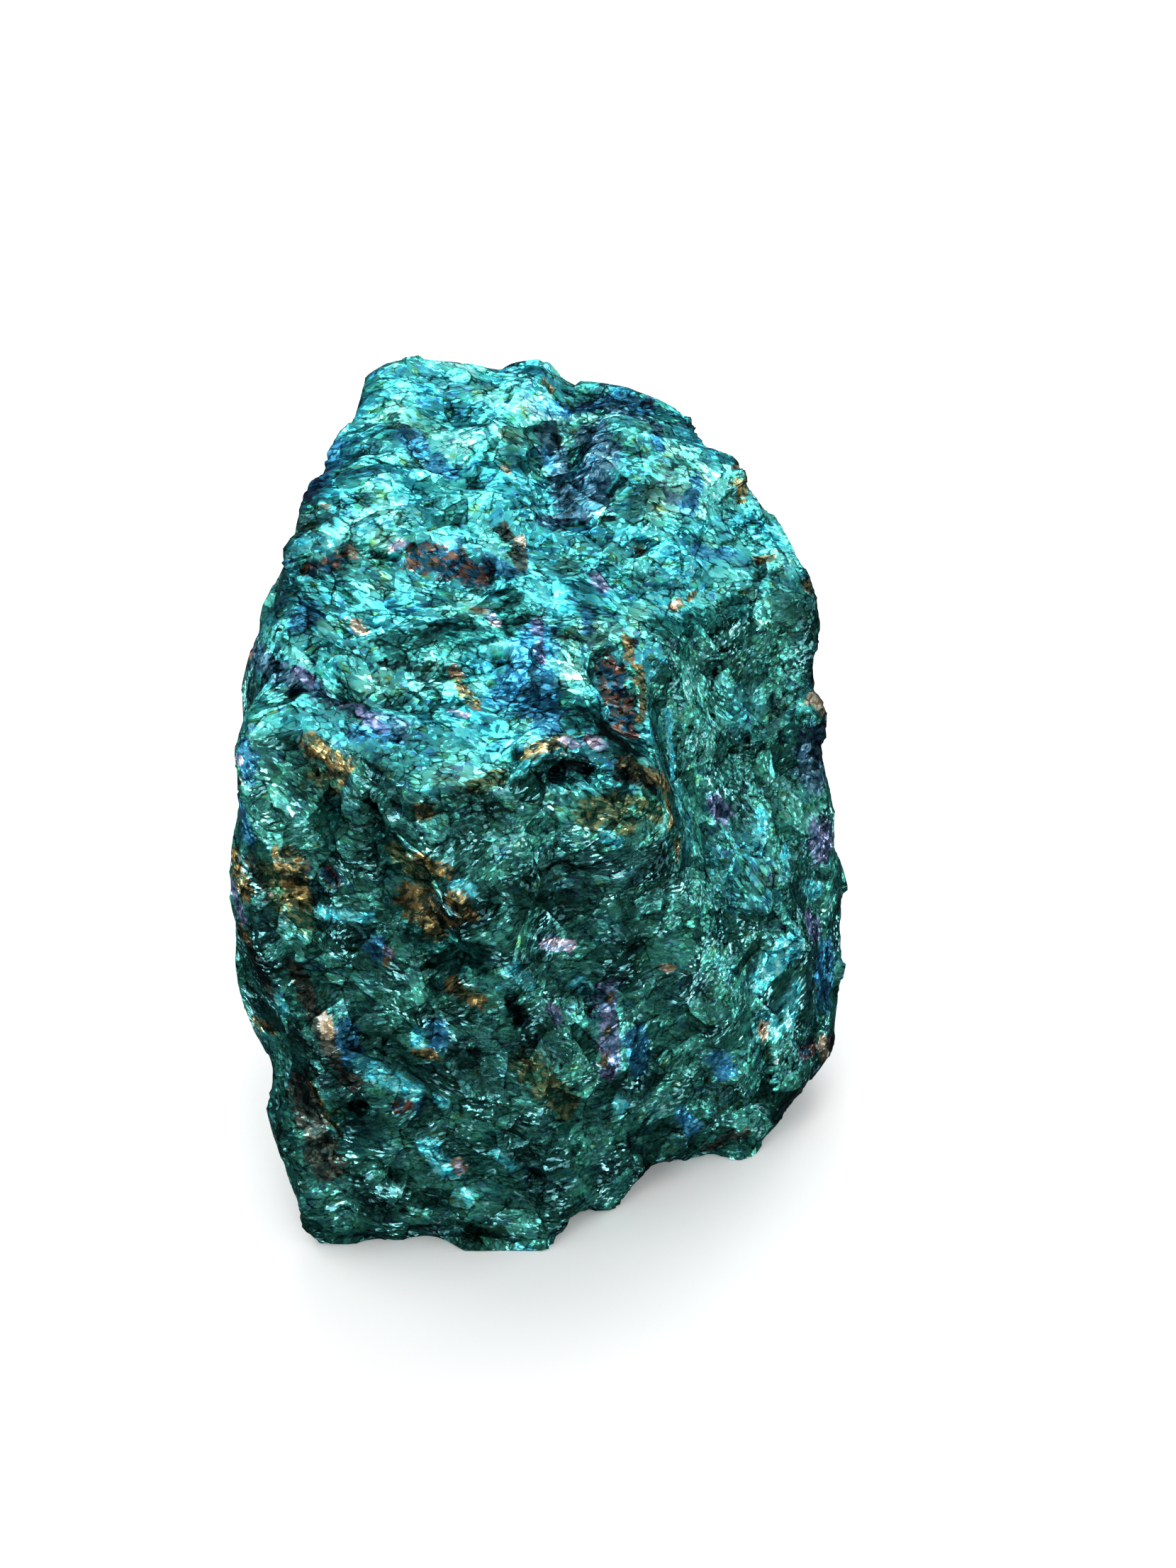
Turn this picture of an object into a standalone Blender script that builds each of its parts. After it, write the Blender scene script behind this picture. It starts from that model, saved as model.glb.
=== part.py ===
"""A rough lump of iridescent chalcopyrite, the peacock ore of the mineral shops.

The stone is one broken piece, about 33 mm wide, 35 mm deep and 36 mm tall. It stands on a small
flat spot of its underside. +X is its right, +Y is away from its front and +Z is up. The origin is
the middle of its footprint, on the surface that it stands on.

The sizes below are millimetres. Their zero point lies under the middle of the stone, at the
height of its flat spot.
"""

from math import radians

import bmesh
import bpy
import numpy as np
from mathutils import Euler, Matrix, Vector, noise

MM = 0.001

# The corners of the block. Its front face leans back a little. Its top face rises towards the
# back and narrows there.
TOP_FRONT_EDGE = [
    (-16.4, -15.2, 30.6),
    (-13.0, -16.3, 30.9),
    (-8.0, -18.2, 29.6),
    (-2.8, -16.0, 29.4),
    (3.4, -14.8, 27.2),
]
TOP_BACK_EDGE = [
    (-10.6, 13.5, 35.6),
    (-3.0, 15.0, 34.9),
    (1.8, 14.6, 35.2),
    (4.6, 13.0, 34.6),
    (9.1, 6.5, 31.4),
    (11.9, 1.0, 28.8),
]
TOP_LEFT_EDGE = [
    (-12.6, 9.5, 35.4),
    (-15.3, 3.0, 32.4),
    (-16.5, -9.0, 30.2),
]
LEFT_SIDE = [
    (-17.4, -14.0, 24.1),
    (-17.8, -13.0, 15.9),
    (-16.2, -15.0, 6.0),
]
RIGHT_SIDE = [
    (13.0, 1.0, 19.9),
    (13.4, 0.0, 11.2),
    (15.0, -2.6, 3.8),
]
BACK_SIDE = [
    (-14.0, 10.0, 17.0),
    (-8.5, 15.0, 19.0),
    (2.0, 15.6, 17.0),
    (9.0, 10.5, 16.0),
]
FOOT = [
    (-14.4, -18.0, 0.8),
    (-1.6, -18.6, 0.4),
    (8.0, -10.8, 1.8),
    (14.6, -5.4, 2.0),
    (9.5, 7.0, 2.5),
    (2.0, 12.0, 3.0),
    (-6.5, 11.5, 2.5),
    (-13.0, 5.0, 2.0),
]
FLAT_SPOT = [
    (-13.0, -17.6, -0.5),
    (-2.0, -18.0, -0.5),
    (5.6, -10.4, -0.5),
    (7.5, 2.0, -0.5),
    (-1.0, 7.5, -0.5),
    (-10.5, 3.0, -0.5),
]

# A wedge on the top face. Its left flank is a smooth triangle that widens towards the front.
TOP_WEDGE = [
    (-3.2, -6.0, 31.9),
    (-1.9, -14.0, 30.4),
    (-4.7, -14.3, 29.6),
    (1.2, -13.0, 29.9),
    (2.0, -6.0, 31.3),
    (0.4, -1.0, 32.6),
    (-1.0, -8.0, 26.0),
]

# The recess between the top face and the right face. A steep wall stands under the edge of the
# top face, and the rest slopes down to the right face.
RIGHT_RECESS = [
    (3.9, -14.7, 27.8),
    (2.5, -6.9, 31.5),
    (11.4, 0.8, 30.5),
    (17.0, -4.0, 31.0),
    (10.0, -17.0, 28.0),
    (4.3, -14.2, 25.6),
    (3.5, -7.4, 27.8),
    (8.8, -1.4, 26.8),
    (6.9, -12.4, 15.0),
    (10.9, -6.6, 15.0),
    (13.8, -1.4, 17.0),
]

# Slabs that stand proud of the block, and slots and pits that are cut out of it. Each is a box:
# its middle, its size, and its turn about X, Y and Z in degrees.
SLABS = {
    "upper plate": ((-9.2, -3.2, 30.9), (12.4, 14.5, 5.4), (11, 8, 3)),
    "back left lump": ((-6.6, 10.0, 32.2), (8.6, 8.0, 6.6), (3, 2, 12)),
    "peak": ((-3.0, 14.0, 33.7), (2.2, 2.6, 4.2), (8, 6, 20)),
    "right shoulder": ((3.0, 5.2, 30.9), (7.0, 8.6, 6.0), (8, 14, -14)),
    "lip of the ledge": ((-0.2, -14.2, 28.5), (5.6, 4.4, 2.8), (10, 20, 14)),
    "front buttress": ((-4.6, -15.2, 23.2), (8.0, 5.0, 7.0), (-9, 0, 18)),
    "right foot": ((8.2, -9.6, 1.0), (1.6, 2.0, 2.4), (0, 10, 30)),
}
HOLLOWS = {
    "hollow": ((-6.6, -9.7, 32.9), (5.8, 3.4, 2.6), (35, 6, 2)),
    "gully": ((1.6, -10.8, 29.8), (2.0, 5.6, 3.2), (25, 12, 14)),
    "valley": ((-1.8, 4.8, 34.3), (3.4, 8.6, 2.8), (11, -15, 2)),
    "undercut at the left": ((-9.6, -19.8, -0.3), (5.0, 5.0, 3.2), (-14, 0, -6)),
}

# Sharp openings, cut after the relief: flattened balls, given in the same way.
OPENINGS = {
    "slot under the ledge": ((0.9, -15.3, 27.8), (8.2, 4.6, 1.6), (-20, 23, 19)),
    "lens pit": ((-6.6, -3.6, 32.9), (5.8, 2.5, 2.6), (-14, 9, 8)),
}

# The stone is cut off flat at the surface that it stands on.
GROUND = {
    "ground": ((0.0, 0.0, -10.0), (60.0, 60.0, 20.0), (0, 0, 0)),
}

# Grooves and ribs of the broken surface: the points that each runs through, its width, and its
# depth, which is negative for a rib.
GROOVES = {
    "front left gully": ([(-13.2, -16.4, 30.8), (-10.8, -18.0, 26.0), (-8.4, -18.6, 21.5)], 1.9, 1.3),
    "front rib": ([(-11.7, -17.5, 28.2), (-11.0, -18.0, 24.8), (-10.6, -18.4, 22.0)], 0.8, -0.7),
    "front crack": ([(-0.1, -17.3, 16.4), (0.2, -17.4, 12.8)], 0.7, 0.8),
    "lower left edge": ([(-17.3, -15.0, 21.5), (-13.9, -17.8, 15.5), (-10.4, -18.9, 3.0)], 1.1, -0.8),
    "lower left hollow": ([(-15.0, -16.6, 12.0), (-13.0, -17.8, 5.0)], 2.4, 0.6),
    "front foot hollow": ([(-10.0, -18.8, 14.6), (-8.6, -18.8, 10.6)], 1.6, 0.7),
    "violet groove": ([(1.4, -16.6, 15.5), (2.6, -16.2, 11.0)], 1.4, 0.6),
    "right face groove": ([(8.0, -10.2, 12.0), (9.4, -9.2, 7.0)], 1.3, 0.8),
    "right face rib": ([(9.6, -8.0, 13.0), (11.4, -6.6, 8.0)], 1.4, -0.7),
    "right face crack": ([(6.4, -8.6, 27.6), (6.2, -9.2, 22.0)], 0.7, 0.6),
    "bridge over a step": ([(-6.6, -1.2, 33.2), (-3.2, -1.2, 32.6)], 0.9, -0.7),
    "notch by the peak": ([(-4.9, 10.0, 36.0), (-4.9, 15.5, 35.2)], 1.0, 0.9),
    "second notch by the peak": ([(-0.9, 10.0, 35.2), (-0.7, 15.5, 35.0)], 0.9, 0.8),
    "top left layering": ([(-17.0, -11.5, 30.6), (-10.0, -12.0, 31.8)], 1.0, 0.5),
}

# The relief of the broken surface: planes at odd tilts, in two sizes of cell, with roughness on
# top. Each plane has its own tilt and its own step up or down. The relief is centred a little
# outside the block, because the hollows between the planes take more away than they add.
BIG_CELL = 7.5
SMALL_CELL = 3.4
ROUGH_CELL = 1.7
BIG_RELIEF = 0.5
SMALL_RELIEF = 0.45
ROUGH_RELIEF = 0.32
TILT_SHARE = 0.9
STEP_SHARE = 0.45
SWELL = 0.45

# Seeds for the places of the cells, and for what each cell gets as its tilt and its step.
BIG_SEED = 3.0
SMALL_SEED = 17.3
TILT_SEED = 9.1
STEP_SEED = 7.7
SEED_SPREAD = Vector((1.0, 0.7, -1.0))
TILT_OFFSET = Vector((0.3, 0.6, 0.9))

# The direction in which the small forms run, on the surfaces that face up and on the others, and
# how much longer they are that way.
TOP_GRAIN = Vector((1.0, 0.15, 0.0))
SIDE_GRAIN = Vector((0.35, 0.0, -0.94))
STRETCH = 2.0
FACES_UP = 0.6

# The mesh: the size of its even grid, how many triangles are kept, and how near to the ground a
# corner is put on it.
VOXEL = 0.5
TRIANGLES = 8600
FLATNESS = 0.02
BALL_SEGMENTS = 24
BALL_RINGS = 12


def clear_scene():
    for obj in list(bpy.data.objects):
        bpy.data.objects.remove(obj, do_unlink=True)


def new_collection(name):
    collection = bpy.data.collections.new(name)
    bpy.context.scene.collection.children.link(collection)
    return collection


def hull(name, corners, collection):
    """The convex block of these corners."""
    mesh = bpy.data.meshes.new(name)
    bm = bmesh.new()
    for corner in corners:
        bm.verts.new(Vector(corner) * MM)
    bmesh.ops.convex_hull(bm, input=bm.verts)
    inner = [vert for vert in bm.verts if not vert.link_faces]
    bmesh.ops.delete(bm, geom=inner, context="VERTS")
    bmesh.ops.recalc_face_normals(bm, faces=bm.faces)
    bm.to_mesh(mesh)
    bm.free()
    obj = bpy.data.objects.new(name, mesh)
    collection.objects.link(obj)
    return obj


def tool(name, shape, middle, size, turn, collection):
    """A box or a ball of this size, turned about its middle."""
    mesh = bpy.data.meshes.new(name)
    bm = bmesh.new()
    scale = Matrix.Diagonal((*size, 1.0)) * MM
    if shape == "BOX":
        bmesh.ops.create_cube(bm, size=1.0, matrix=scale)
    else:
        bmesh.ops.create_uvsphere(
            bm, u_segments=BALL_SEGMENTS, v_segments=BALL_RINGS, radius=0.5, matrix=scale
        )
    bm.to_mesh(mesh)
    bm.free()
    obj = bpy.data.objects.new(name, mesh)
    obj.location = Vector(middle) * MM
    obj.rotation_euler = Euler([radians(angle) for angle in turn])
    obj.hide_render = True
    obj.display_type = "WIRE"
    collection.objects.link(obj)
    return obj


def boolean(obj, other, operation):
    modifier = obj.modifiers.new(other.name, "BOOLEAN")
    modifier.object = other
    modifier.operation = operation
    modifier.solver = "EXACT"


def apply_modifiers(obj):
    """Keeps what the modifiers make as the object's own mesh."""
    depsgraph = bpy.context.evaluated_depsgraph_get()
    mesh = bpy.data.meshes.new_from_object(obj.evaluated_get(depsgraph))
    old = obj.data
    obj.modifiers.clear()
    obj.data = mesh
    bpy.data.meshes.remove(old)


def even_out(obj, voxel):
    """Gives the object an even mesh with no overlaps in it."""
    modifier = obj.modifiers.new("even mesh", "REMESH")
    modifier.mode = "VOXEL"
    modifier.voxel_size = voxel * MM
    apply_modifiers(obj)


def along(grain, point):
    """The point with its part along the grain made shorter, so that forms run that way."""
    unit = grain.normalized()
    return point - unit * point.dot(unit) * (1.0 - 1.0 / STRETCH)


def broken_planes(point, cell, seed):
    """The height of a surface that is broken into planes, one to each cell, from -1 to 1."""
    spot = point / cell + SEED_SPREAD * seed
    centre = noise.voronoi(spot)[1][0]
    tilt = noise.cell_vector(centre * TILT_SEED + TILT_OFFSET) * 2.0 - Vector((1.0, 1.0, 1.0))
    step = noise.cell(centre * STEP_SEED) * 2.0 - 1.0
    return TILT_SHARE * (spot - centre).dot(tilt) + STEP_SHARE * step


def relief(point, normal):
    """How far the surface stands out at this point, in millimetres."""
    grain = TOP_GRAIN if normal.z > FACES_UP else SIDE_GRAIN
    run = along(grain, point)
    height = SWELL + BIG_RELIEF * broken_planes(point, BIG_CELL, BIG_SEED)
    height += SMALL_RELIEF * broken_planes(run, SMALL_CELL, SMALL_SEED)
    return height + ROUGH_RELIEF * noise.noise(run / ROUGH_CELL)


def distance_to_path(points, path):
    """The distance of each point from the line through the points of the path."""
    nearest = np.full(len(points), np.inf)
    for start, end in zip(path[:-1], path[1:]):
        start = np.array(start)
        run = np.array(end) - start
        share = np.clip((points - start) @ run / (run @ run), 0.0, 1.0)
        gap = np.linalg.norm(points - start - share[:, None] * run, axis=1)
        nearest = np.minimum(nearest, gap)
    return nearest


def carve(obj):
    """Moves the surface in and out by its relief and its grooves."""
    mesh = obj.data
    count = len(mesh.vertices)
    places = np.empty(count * 3)
    mesh.vertices.foreach_get("co", places)
    places = places.reshape(count, 3) / MM
    normals = np.array([vert.normal for vert in mesh.vertices])
    heights = np.array([relief(Vector(p), Vector(n)) for p, n in zip(places, normals)])
    for path, width, depth in GROOVES.values():
        heights -= depth * np.exp(-((distance_to_path(places, path) / width) ** 2))
    places += normals * heights[:, None]
    mesh.vertices.foreach_set("co", (places * MM).ravel())
    mesh.update()


def thin_out(obj, triangles):
    """Fewer triangles, the large ones on the flat planes."""
    modifier = obj.modifiers.new("fewer triangles", "DECIMATE")
    modifier.ratio = triangles / (2.0 * len(obj.data.polygons))
    apply_modifiers(obj)


def set_down(obj):
    """Puts the origin in the middle of the footprint, and the flat spot exactly at its height."""
    places = np.array([vert.co for vert in obj.data.vertices])
    middle = (places.min(axis=0) + places.max(axis=0)) / 2.0
    places -= (middle[0], middle[1], 0.0)
    places[np.abs(places[:, 2]) < FLATNESS * MM, 2] = 0.0
    obj.data.vertices.foreach_set("co", places.ravel())


def peacock_ore():
    """The teal tarnish of the whole stone."""
    material = bpy.data.materials.new("chalcopyrite")
    material.use_nodes = True
    shader = material.node_tree.nodes["Principled BSDF"]
    shader.inputs["Base Color"].default_value = (0.05, 0.30, 0.31, 1.0)
    shader.inputs["Roughness"].default_value = 0.35
    shader.inputs["Metallic"].default_value = 0.9
    return material


def work(stone, tools, shape, operation, collection):
    """Adds these tools to the stone, or cuts them out of it."""
    helpers = []
    for name, (middle, size, turn) in tools.items():
        helpers.append(tool(name, shape, middle, size, turn, collection))
        boolean(stone, helpers[-1], operation)
    apply_modifiers(stone)
    for helper in helpers:
        bpy.data.objects.remove(helper, do_unlink=True)


def make_stone():
    part = new_collection("chalcopyrite")
    cutters = new_collection("cutters")
    corners = TOP_FRONT_EDGE + TOP_BACK_EDGE + TOP_LEFT_EDGE + LEFT_SIDE + RIGHT_SIDE
    corners += BACK_SIDE + FOOT + FLAT_SPOT
    stone = hull("chalcopyrite", corners, part)
    wedge = hull("top wedge", TOP_WEDGE, cutters)
    recess = hull("right recess", RIGHT_RECESS, cutters)
    boolean(stone, wedge, "UNION")
    boolean(stone, recess, "DIFFERENCE")
    work(stone, SLABS, "BOX", "UNION", cutters)
    bpy.data.objects.remove(wedge, do_unlink=True)
    bpy.data.objects.remove(recess, do_unlink=True)
    work(stone, HOLLOWS, "BOX", "DIFFERENCE", cutters)
    even_out(stone, VOXEL)
    carve(stone)
    even_out(stone, VOXEL)
    work(stone, OPENINGS, "BALL", "DIFFERENCE", cutters)
    even_out(stone, VOXEL)
    work(stone, GROUND, "BOX", "DIFFERENCE", cutters)
    thin_out(stone, TRIANGLES)
    set_down(stone)
    stone.data.materials.clear()
    stone.data.materials.append(peacock_ore())
    return stone


clear_scene()
make_stone()
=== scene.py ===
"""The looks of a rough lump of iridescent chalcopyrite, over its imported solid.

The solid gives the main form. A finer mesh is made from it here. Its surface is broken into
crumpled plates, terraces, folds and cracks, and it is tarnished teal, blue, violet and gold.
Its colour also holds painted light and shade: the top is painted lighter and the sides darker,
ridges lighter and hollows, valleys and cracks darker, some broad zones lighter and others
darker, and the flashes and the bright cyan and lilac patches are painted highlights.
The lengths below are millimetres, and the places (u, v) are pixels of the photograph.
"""

from collections import namedtuple
from math import pi, radians

import bmesh
import bpy
import numpy as np
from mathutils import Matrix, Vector, noise
from mathutils.bvhtree import BVHTree


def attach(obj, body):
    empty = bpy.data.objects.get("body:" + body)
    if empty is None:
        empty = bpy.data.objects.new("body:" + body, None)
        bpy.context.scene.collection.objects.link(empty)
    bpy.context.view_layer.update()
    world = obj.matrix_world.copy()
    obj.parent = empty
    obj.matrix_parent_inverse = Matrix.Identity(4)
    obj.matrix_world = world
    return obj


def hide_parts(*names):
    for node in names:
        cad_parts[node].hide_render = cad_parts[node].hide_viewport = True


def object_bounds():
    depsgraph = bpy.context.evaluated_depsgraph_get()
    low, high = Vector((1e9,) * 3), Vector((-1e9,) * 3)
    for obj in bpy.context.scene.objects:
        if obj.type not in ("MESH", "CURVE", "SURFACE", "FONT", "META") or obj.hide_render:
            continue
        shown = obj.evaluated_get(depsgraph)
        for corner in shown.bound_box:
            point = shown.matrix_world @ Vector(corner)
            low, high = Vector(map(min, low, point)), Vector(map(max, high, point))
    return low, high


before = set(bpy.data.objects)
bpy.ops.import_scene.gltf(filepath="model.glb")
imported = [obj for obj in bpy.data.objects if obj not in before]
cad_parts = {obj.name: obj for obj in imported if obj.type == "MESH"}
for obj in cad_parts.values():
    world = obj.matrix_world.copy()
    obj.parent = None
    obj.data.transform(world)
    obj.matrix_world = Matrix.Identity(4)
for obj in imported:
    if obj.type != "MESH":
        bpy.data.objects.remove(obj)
cad_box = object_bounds()

# One millimetre, in the metres that Blender works in.
MM = 0.001

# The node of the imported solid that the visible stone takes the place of.
NODE = "chalcopyrite"

# The camera, at the photograph's viewing angle. The focal length is in pixels.
PHOTO_WIDTH = 1659
PHOTO_HEIGHT = 2212
FOCAL_LENGTH = 4160.0
SENSOR_HEIGHT = 36.0
CAMERA_ELEVATION = radians(35.0)
CAMERA_DISTANCE = 160.0
CAMERA_AIM = Vector((1.9, 1.7, 17.0))
FORWARD = Vector((0.0, np.cos(CAMERA_ELEVATION), -np.sin(CAMERA_ELEVATION)))
RIGHT = Vector((1.0, 0.0, 0.0))
UP = RIGHT.cross(FORWARD)
EYE = CAMERA_AIM - FORWARD * CAMERA_DISTANCE

# The grid of the mesh, and how often it is smoothed before its surface is broken again.
GRID = 0.27
SMOOTHING = 2

# The sides face up by less than the first number and the bright top face by more than the second.
# In between one blends into the other, and past ON_TOP a facet counts as part of the top.
SIDE_UP = 0.30
TOP_UP = 0.75
ON_TOP = 0.5

# How often values are averaged with those around them: the normals, to find where the surface
# faces, and the places, to find its small hollows and then its broad valleys.
FACING_SPREAD = 12
HOLLOW_SPREAD = 8
VALLEY_SPREAD = 60

# The depths at which a hollow or a valley begins and at which it is full.
HOLLOW_DEPTHS = (0.02, 0.30)
VALLEY_DEPTHS = (-0.35, 0.45)

# Under this height the stone keeps the flat spot of the solid, which stands on the floor.
GROUND = 0.2

# The dome that swells up under the ledge and closes most of the slot: its middle and its radii,
# and how often its faces are divided.
DOME_MIDDLE = Vector((2.7, -12.7, 26.0))
DOME_RADII = Vector((3.3, 2.9, 3.3))
DOME_DIVISIONS = 4

# The relief: planes at odd tilts, one to each cell. Each has the size of its cells, its height and
# its seed. The shares are how much of the height is tilt and how much is steps between cells.
TOP_PLANES = [(3.0, 0.34, 4.1), (1.3, 0.12, 11.7), (0.7, 0.06, 31.3)]
SIDE_PLANES = [(3.4, 0.36, 8.3), (1.6, 0.12, 21.9), (0.8, 0.06, 31.3)]
TILT_SHARE = 1.1
STEP_SHARE = 0.30
TILT_SEED = 9.1
STEP_SEED = 7.7
SEED_SPREAD = Vector((1.0, 0.7, -1.0))

# The facets that the surface is then flattened into: the size of their cells, how much of the
# roundness they take away, and their seed. Cells are told apart by their middle, rounded to this
# many digits.
FACETS = [(1.9, 0.8, 3.3), (0.95, 0.6, 17.1)]
CELL_DIGITS = 3

# The direction in which the forms run on the top and on the sides, and how much longer they are.
TOP_GRAIN = Vector((1.0, 0.12, 0.0))
SIDE_GRAIN = Vector((0.45, 0.0, -0.9))
TOP_STRETCH = 3.0
SIDE_STRETCH = 2.4
FACET_STRETCH = 1.7

# The terraces of the top face: how wide and how high each is, how far they wander and over what
# size, how much of each is its steep front, and how far under its edge its middle height lies.
TERRACE = 1.5
TERRACE_HEIGHT = 0.26
TERRACE_WANDER = 1.7
TERRACE_WANDER_SIZE = 5.0
TERRACE_FRONT = 0.22
TERRACE_MIDDLE = 0.5
TERRACE_SEED = 5.5

# The folds of the sides: their size, their height, how much longer they are than wide, how far
# their ridges rise and how steeply they fall away from them, and their seed.
FOLD_SIZE = 1.7
FOLD_HEIGHT = 0.16
FOLD_STRETCH = 3.0
FOLD_RIDGE = 0.5
FOLD_SLOPE = 2.0
FOLD_SEED = 2.5

# Cracks and small pits: the pixels that each runs through, its width and its depth.
CRACKS = [
    ([(797, 741), (830, 735), (864, 733)], 0.22, 0.5),
    ([(663, 551), (675, 580), (682, 610)], 0.30, 0.4),
    ([(716, 551), (706, 580), (694, 606)], 0.30, 0.4),
    ([(1010, 689), (1012, 712), (1018, 733)], 0.20, 0.4),
    ([(858, 700), (868, 688), (880, 678)], 0.30, 0.5),
    ([(1010, 943), (1005, 1009), (998, 1049), (985, 1072)], 0.22, 0.5),
    ([(1055, 1035), (1054, 1055)], 0.32, 0.5),
    ([(826, 1410), (833, 1440), (836, 1469)], 0.22, 0.5),
    ([(908, 1322), (912, 1350), (916, 1375)], 0.20, 0.4),
    ([(560, 1150), (590, 1215), (600, 1260)], 0.45, 0.4),
    ([(510, 1560), (516, 1566)], 0.45, 0.6),
    ([(669, 1480), (670, 1486)], 0.35, 0.5),
    ([(715, 1408), (733, 1442)], 0.40, 0.4),
    ([(530, 935), (600, 945), (650, 940), (700, 925)], 0.40, 0.6),
    ([(715, 835), (730, 862)], 0.50, 0.5),
    ([(773, 1078), (830, 1084), (886, 1090)], 0.30, 0.4),
    ([(470, 800), (480, 812)], 0.30, 0.4),
    ([(455, 850), (480, 855)], 0.25, 0.4),
    ([(700, 745), (712, 750)], 0.25, 0.4),
]

# A path may start and end at one point, where the outline hides the rest. This keeps the square
# of its length above nought.
SHORTEST_RUN = 1e-6

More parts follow.
